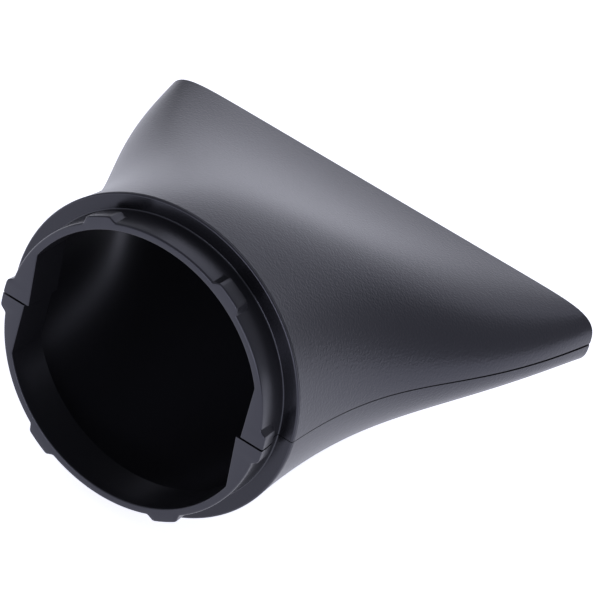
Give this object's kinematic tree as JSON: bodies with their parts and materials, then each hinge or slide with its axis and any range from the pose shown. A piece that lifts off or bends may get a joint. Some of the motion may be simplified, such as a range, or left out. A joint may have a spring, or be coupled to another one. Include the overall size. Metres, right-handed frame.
{
  "type": "hair dryer concentrator nozzle",
  "caption": "Air concentrator nozzle for a hair dryer: a round collar with locking lugs flares into a wide, flat outlet slot. Plastic half shells meet on a parting plane.",
  "frame": {"origin": "on the nozzle's axis, at the front face of the collar's flange", "axes": "+Y along the nozzle's axis from the dryer towards the outlet, +X along the outlet's width, +Z the normal of the parting plane"},
  "size_m": [0.0846, 0.0688, 0.0534],
  "materials": {
    "upper_plastic": "fine matte texture outside, satin on the flange and spigot",
    "lower_plastic": "fine matte texture outside, satin on the flange and spigot"
  },
  "bodies": {
    "root": {"upper_half_shell": "upper_plastic", "lower_half_shell": "lower_plastic"}
  },
  "joints": []
}
